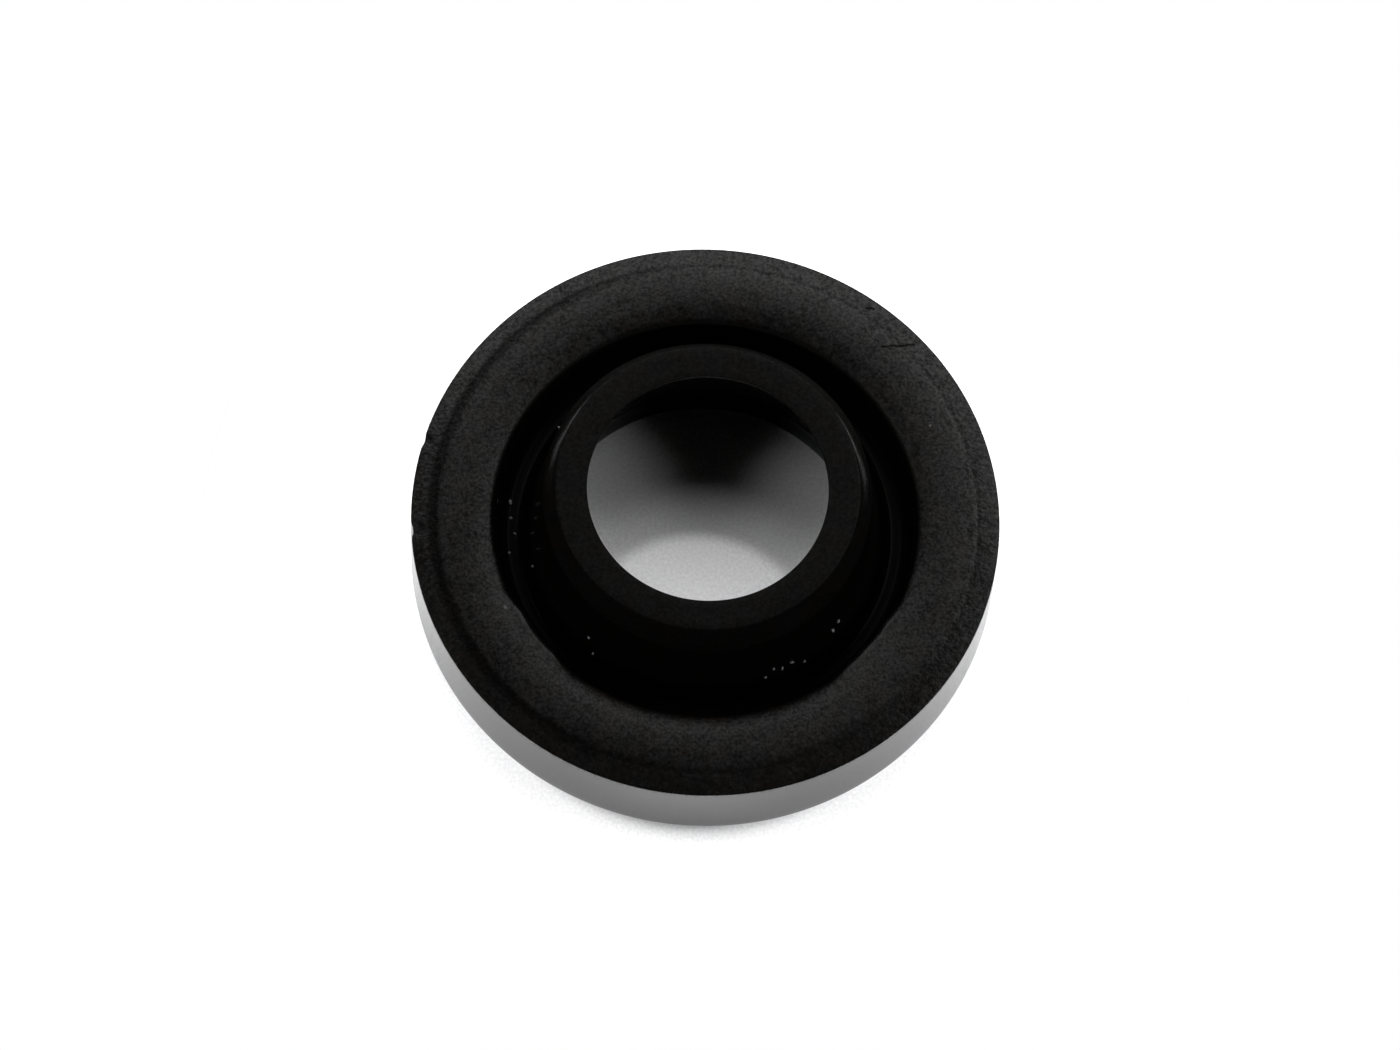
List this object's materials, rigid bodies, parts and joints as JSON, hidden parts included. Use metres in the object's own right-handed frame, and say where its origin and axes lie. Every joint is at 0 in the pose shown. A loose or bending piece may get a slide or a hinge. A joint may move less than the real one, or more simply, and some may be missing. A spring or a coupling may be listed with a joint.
{
  "type": "oil seal",
  "caption": "Black rubber rotary shaft seal: a pressed-in outer flange, a deep ring groove, and a tapered central lip that stands up and closes on the shaft.",
  "frame": {"origin": "centre of the flat back, on the shaft axis, in the plane that the seal lies on", "axes": "+Z along the shaft axis, from the flat back towards the lip's land; X and Y are free, because the ring is round"},
  "size_m": [0.022, 0.022, 0.007],
  "materials": {
    "rubber": "black nitrile rubber, satin on the moulded faces and smoother on the wall and the trimmed lip"
  },
  "bodies": {
    "root": {"seal_ring": "rubber"}
  },
  "joints": []
}
